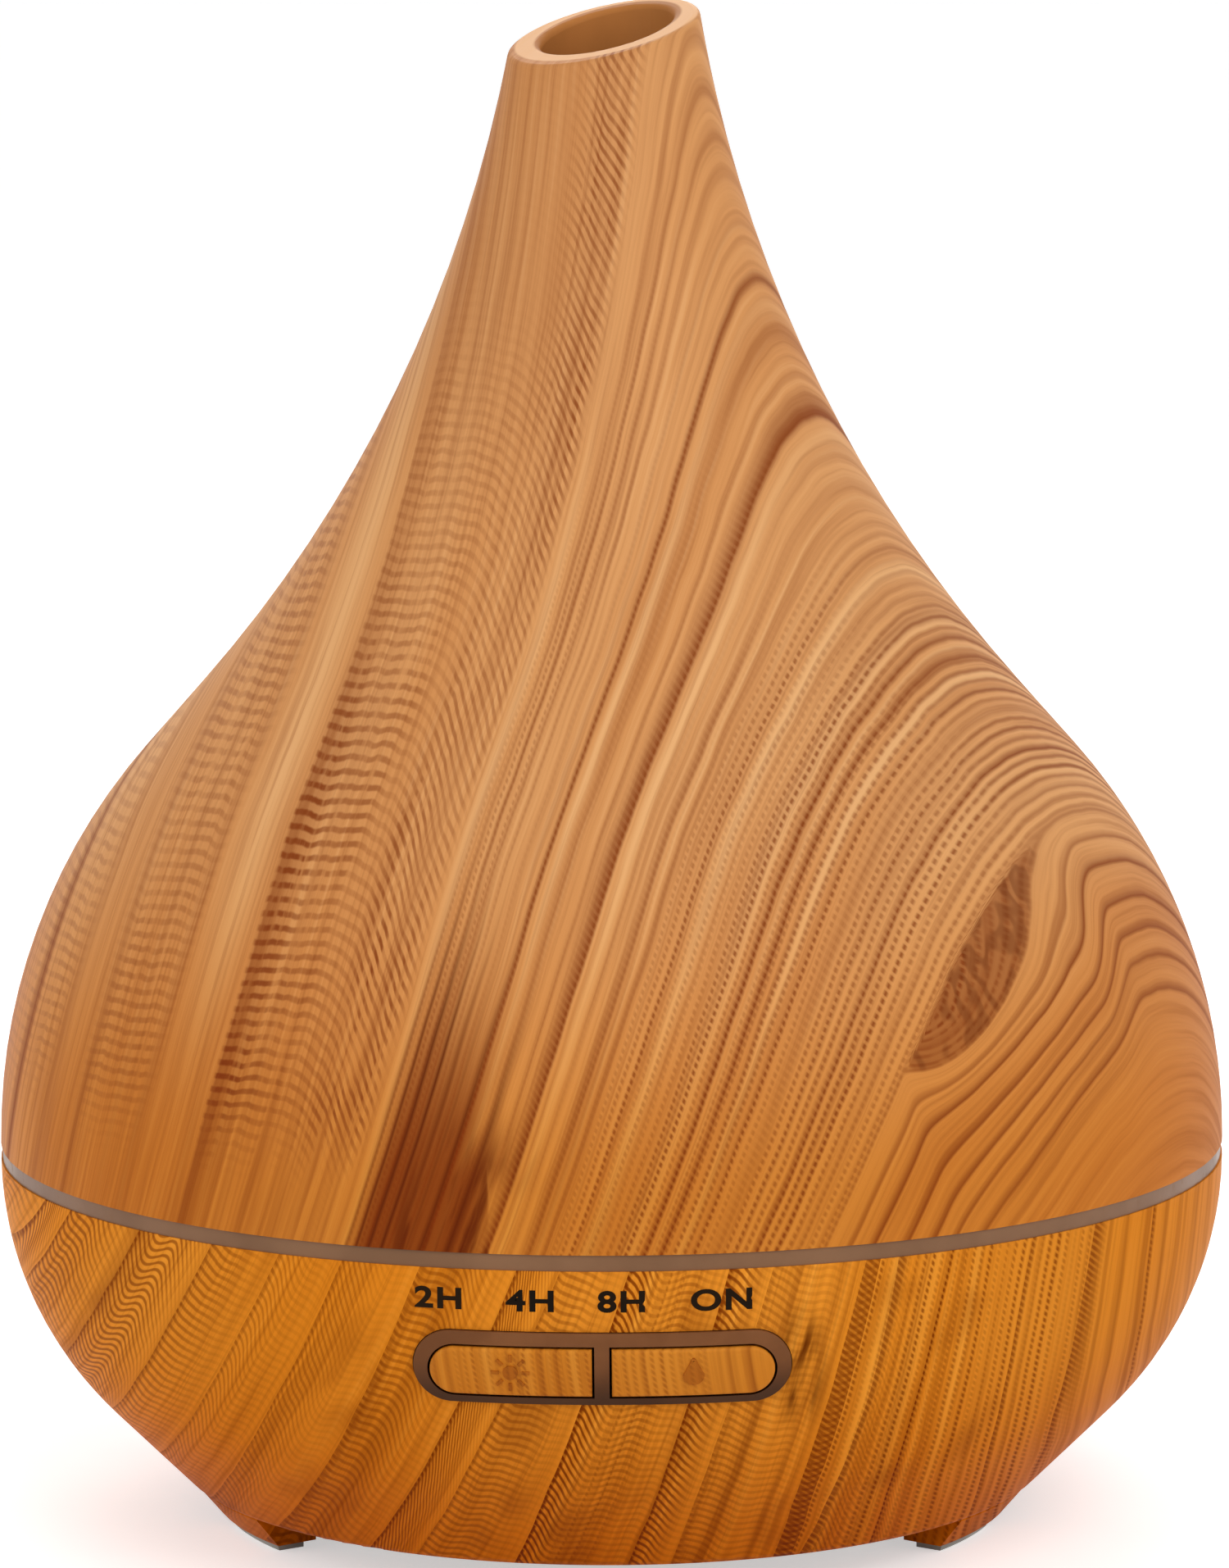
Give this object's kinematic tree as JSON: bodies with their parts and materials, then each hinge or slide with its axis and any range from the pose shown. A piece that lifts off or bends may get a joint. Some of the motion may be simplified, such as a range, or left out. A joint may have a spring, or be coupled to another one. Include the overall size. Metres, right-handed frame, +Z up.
{
  "type": "cool mist humidifier",
  "caption": "Vase-shaped ultrasonic mist humidifier: lift-off wood-grain cover with a slanted mouth, light ring at the seam, bowl base with tank, fan, electronics, push buttons and feet.",
  "frame": {"origin": "on the floor under the middle of the body, level with the bottoms of the foot pads", "axes": "+Z up along the body's axis, -Y towards the front with the buttons, +X to the right seen from the front"},
  "size_m": [0.1684, 0.1684, 0.2071],
  "materials": {
    "woodgrain_cover": "wood-grain printed, satin",
    "woodgrain_base": "wood-grain printed, satin",
    "woodgrain_button": "wood-grain printed, satin",
    "ring_plastic": "translucent, smooth",
    "frame_plastic": "moulded, satin",
    "tank_plastic": "translucent white, satin",
    "plate_plastic": "moulded, fine texture",
    "pad_rubber": "matt",
    "seal_rubber": "matt",
    "clamp_plastic": "moulded",
    "disc_metal": "plated",
    "screw_steel": "zinc plated",
    "fan_plastic": "moulded",
    "shaft_steel": "ground",
    "bearing_bronze": "sintered",
    "winding_copper": "enamelled wire",
    "board_green": "solder mask, glossy",
    "switch_plastic": "moulded",
    "plunger_plastic": "moulded",
    "lamp_lens": "clear resin",
    "sink_aluminium": "extruded",
    "can_aluminium": "sleeved can",
    "socket_plastic": "moulded",
    "jack_plastic": "moulded",
    "pin_metal": "plated"
  },
  "bodies": {
    "base": {"base_housing": "woodgrain_base", "light_ring": "ring_plastic", "button_frame": "frame_plastic", "water_tank": "tank_plastic", "air_hood": "tank_plastic", "base_plate": "plate_plastic", "foot_pad_left": "pad_rubber", "foot_pad_right": "pad_rubber", "foot_pad_rear": "pad_rubber", "disc_seal": "seal_rubber", "disc_clamp": "clamp_plastic", "ultrasonic_disc": "disc_metal", "disc_clamp_screws": "screw_steel", "base_screws": "screw_steel", "fan_screws": "screw_steel", "control_board_screws": "screw_steel", "lamp_board_screws": "screw_steel", "main_board_screws": "screw_steel", "fan_frame": "fan_plastic", "fan_bearing": "bearing_bronze", "fan_stator": "winding_copper", "driver_coils": "winding_copper", "control_board": "board_green", "lamp_board": "board_green", "main_board": "board_green", "light_switch": "switch_plastic", "mist_switch": "switch_plastic", "power_transistor": "switch_plastic", "lamp_leds": "lamp_lens", "heat_sink": "sink_aluminium", "capacitors": "can_aluminium", "board_sockets": "socket_plastic", "dc_jack": "jack_plastic", "dc_jack_pin": "pin_metal"},
    "cover": {"upper_cover": "woodgrain_cover", "splash_guard": "tank_plastic"},
    "light_button": {"light_button": "woodgrain_button", "light_plunger": "plunger_plastic"},
    "mist_button": {"mist_button": "woodgrain_button", "mist_plunger": "plunger_plastic"},
    "fan_rotor": {"fan_rotor": "fan_plastic", "fan_shaft": "shaft_steel"}
  },
  "joints": [
    {"name": "cover_lift", "type": "slide", "parent": "base", "child": "cover", "axis": [0, 0, 1], "range_m": [0, 0.12]},
    {"name": "light_press", "type": "slide", "parent": "base", "child": "light_button", "axis": [0, 1, 0], "range_m": [0, 0.0008], "stiffness_N_per_m": 400, "springref_m": -0.0006},
    {"name": "mist_press", "type": "slide", "parent": "base", "child": "mist_button", "axis": [0, 1, 0], "range_m": [0, 0.0008], "stiffness_N_per_m": 400, "springref_m": -0.0006},
    {"name": "fan_spin", "type": "hinge", "parent": "base", "child": "fan_rotor", "pos_m": [0.029, 0, 0.0122], "axis": [0, 0, 1], "continuous": true}
  ]
}
